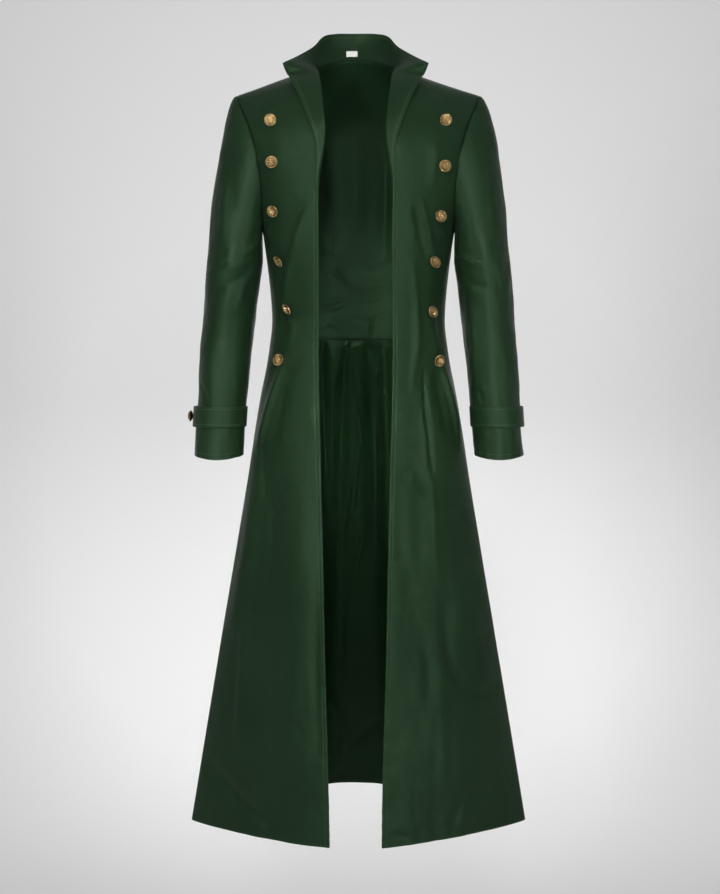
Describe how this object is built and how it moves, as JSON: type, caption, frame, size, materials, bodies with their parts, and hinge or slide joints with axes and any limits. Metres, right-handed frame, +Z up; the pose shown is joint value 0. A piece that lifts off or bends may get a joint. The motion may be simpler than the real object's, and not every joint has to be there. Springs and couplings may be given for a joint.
{
  "type": "open-front long coat",
  "caption": "Floor-length coat worn open, with a stand collar turned out into lapels, two rows of domed shank buttons, strapped cuffs and a pleated back skirt.",
  "frame": {"origin": "base of the neck, midway between the two points where the shoulder seams meet the collar", "axes": "+Z up along the wearer's height, -Y out of the coat's front, +X to the wearer's left"},
  "size_m": [0.6134, 0.4392, 1.4395],
  "materials": {
    "coat_cloth": "dark bottle-green satin-faced twill with a soft sheen",
    "gold_buttons": "antique gold, polished on the raised parts and darker in the recesses",
    "label_tape": "plain white woven tape, blank"
  },
  "bodies": {
    "root": {"front_left": "coat_cloth", "front_right": "coat_cloth", "back_bodice": "coat_cloth", "back_skirt": "coat_cloth", "sleeve_left": "coat_cloth", "sleeve_right": "coat_cloth", "collar": "coat_cloth", "cuff_strap_left": "coat_cloth", "cuff_strap_right": "coat_cloth", "neck_label": "label_tape", "cuff_button_left": "gold_buttons", "cuff_button_right": "gold_buttons", "front_button_left_1": "gold_buttons", "front_button_left_2": "gold_buttons", "front_button_left_3": "gold_buttons", "front_button_left_4": "gold_buttons", "front_button_left_5": "gold_buttons", "front_button_left_6": "gold_buttons", "front_button_right_1": "gold_buttons", "front_button_right_2": "gold_buttons", "front_button_right_3": "gold_buttons", "front_button_right_4": "gold_buttons", "front_button_right_5": "gold_buttons", "front_button_right_6": "gold_buttons"}
  },
  "joints": []
}
